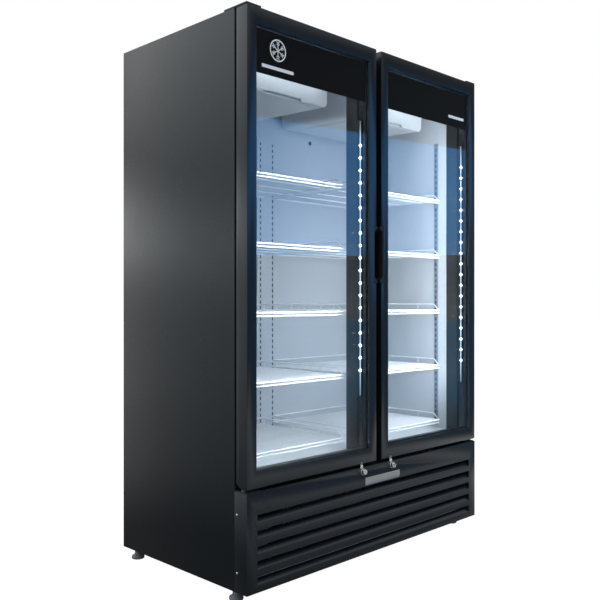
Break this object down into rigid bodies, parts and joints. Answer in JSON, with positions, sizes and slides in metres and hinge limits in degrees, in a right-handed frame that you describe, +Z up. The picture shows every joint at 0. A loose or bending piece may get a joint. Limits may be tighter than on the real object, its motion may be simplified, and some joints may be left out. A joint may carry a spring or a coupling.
{
  "type": "glass door merchandiser",
  "caption": "Upright refrigerated merchandiser with hinged glass doors, lit shelves inside, a louvred base front and levelling feet.",
  "frame": {"origin": "centre of the bounding box in plan, at the floor under the feet", "axes": "+Z up, +Y from the doors to the back, +X to the right seen from the front"},
  "size_m": [1.372, 0.757, 2.008],
  "materials": {
    "black_steel": "satin",
    "black_plastic": "satin",
    "white_liner": "satin",
    "foam": "matte",
    "zinc_steel": "satin",
    "white_wire": "gloss",
    "aluminium": "satin",
    "grey_plastic": "satin",
    "chrome": "polished",
    "clear_glass": "polished",
    "black_rubber": "matte",
    "light_strip": "satin"
  },
  "bodies": {
    "cabinet": {"side_panel_left": "black_steel", "side_panel_right": "black_steel", "top_panel": "black_steel", "compressor": "black_steel", "condenser_shroud": "black_steel", "front_grille": "black_steel", "top_hinge_left": "black_steel", "top_hinge_right": "black_steel", "face_frame": "black_plastic", "center_mullion": "black_plastic", "inner_liner": "white_liner", "pilaster_left_front": "white_liner", "pilaster_left_rear": "white_liner", "pilaster_right_front": "white_liner", "pilaster_right_rear": "white_liner", "pilaster_rear_center": "white_liner", "evaporator_housing_left": "white_liner", "evaporator_housing_right": "white_liner", "insulation": "foam", "rear_panel": "zinc_steel", "base_pan": "zinc_steel", "control_box": "zinc_steel", "bottom_hinge_left": "black_steel", "bottom_hinge_right": "black_steel", "shelf_left_1": "white_wire", "shelf_left_2": "white_wire", "shelf_left_3": "white_wire", "shelf_left_4": "white_wire", "shelf_left_5": "white_wire", "shelf_right_1": "white_wire", "shelf_right_2": "white_wire", "shelf_right_3": "white_wire", "shelf_right_4": "white_wire", "shelf_right_5": "white_wire", "evaporator_coil_left": "aluminium", "evaporator_coil_right": "aluminium", "condenser_coil": "aluminium"},
    "left_door": {"left_door_frame": "black_steel", "left_door_outer_pane": "clear_glass", "left_door_inner_pane": "clear_glass", "left_door_gasket": "black_rubber", "left_door_grip": "black_plastic", "left_door_lock_tab": "chrome", "left_door_light_strip": "light_strip"},
    "right_door": {"right_door_frame": "black_steel", "right_door_outer_pane": "clear_glass", "right_door_inner_pane": "clear_glass", "right_door_gasket": "black_rubber", "right_door_grip": "black_plastic", "right_door_lock_tab": "chrome", "right_door_light_strip": "light_strip"},
    "lock_left": {"lock_barrel_left": "chrome"},
    "evaporator_fan_left": {"evaporator_fan_left": "black_plastic"},
    "lock_right": {"lock_barrel_right": "chrome"},
    "evaporator_fan_right": {"evaporator_fan_right": "black_plastic"},
    "condenser_fan": {"condenser_fan": "aluminium"},
    "foot_left_front": {"foot_left_front": "grey_plastic"},
    "foot_left_rear": {"foot_left_rear": "grey_plastic"},
    "foot_right_front": {"foot_right_front": "grey_plastic"},
    "foot_right_rear": {"foot_right_rear": "grey_plastic"}
  },
  "joints": [
    {"name": "left_door_hinge", "type": "hinge", "parent": "cabinet", "child": "left_door", "pos_m": [-0.67, -0.337, 0.396], "axis": [0, 0, -1], "range_deg": [0, 110], "stiffness_Nm_per_rad": 2, "springref_deg": -20.05},
    {"name": "right_door_hinge", "type": "hinge", "parent": "cabinet", "child": "right_door", "pos_m": [0.67, -0.337, 0.396], "axis": [0, 0, 1], "range_deg": [0, 110], "stiffness_Nm_per_rad": 2, "springref_deg": -20.05},
    {"name": "lock_left_turn", "type": "hinge", "parent": "cabinet", "child": "lock_left", "pos_m": [-0.0961, -0.3645, 0.365], "axis": [0, -1, 0], "range_deg": [0, 90]},
    {"name": "lock_right_turn", "type": "hinge", "parent": "cabinet", "child": "lock_right", "pos_m": [0.0815, -0.3645, 0.365], "axis": [0, -1, 0], "range_deg": [0, 90]},
    {"name": "evaporator_fan_left_spin", "type": "hinge", "parent": "cabinet", "child": "evaporator_fan_left", "pos_m": [-0.532, -0.0445, 1.877], "axis": [1, 0, 0], "continuous": true},
    {"name": "evaporator_fan_right_spin", "type": "hinge", "parent": "cabinet", "child": "evaporator_fan_right", "pos_m": [0.532, -0.0445, 1.877], "axis": [1, 0, 0], "continuous": true},
    {"name": "condenser_fan_spin", "type": "hinge", "parent": "cabinet", "child": "condenser_fan", "pos_m": [-0.15, -0.1422, 0.1823], "axis": [0, 1, 0], "continuous": true},
    {"name": "foot_left_front_level", "type": "slide", "parent": "cabinet", "child": "foot_left_front", "axis": [0, 0, -1], "range_m": [-0.01, 0.02]},
    {"name": "foot_left_rear_level", "type": "slide", "parent": "cabinet", "child": "foot_left_rear", "axis": [0, 0, -1], "range_m": [-0.01, 0.02]},
    {"name": "foot_right_front_level", "type": "slide", "parent": "cabinet", "child": "foot_right_front", "axis": [0, 0, -1], "range_m": [-0.01, 0.02]},
    {"name": "foot_right_rear_level", "type": "slide", "parent": "cabinet", "child": "foot_right_rear", "axis": [0, 0, -1], "range_m": [-0.01, 0.02]}
  ]
}
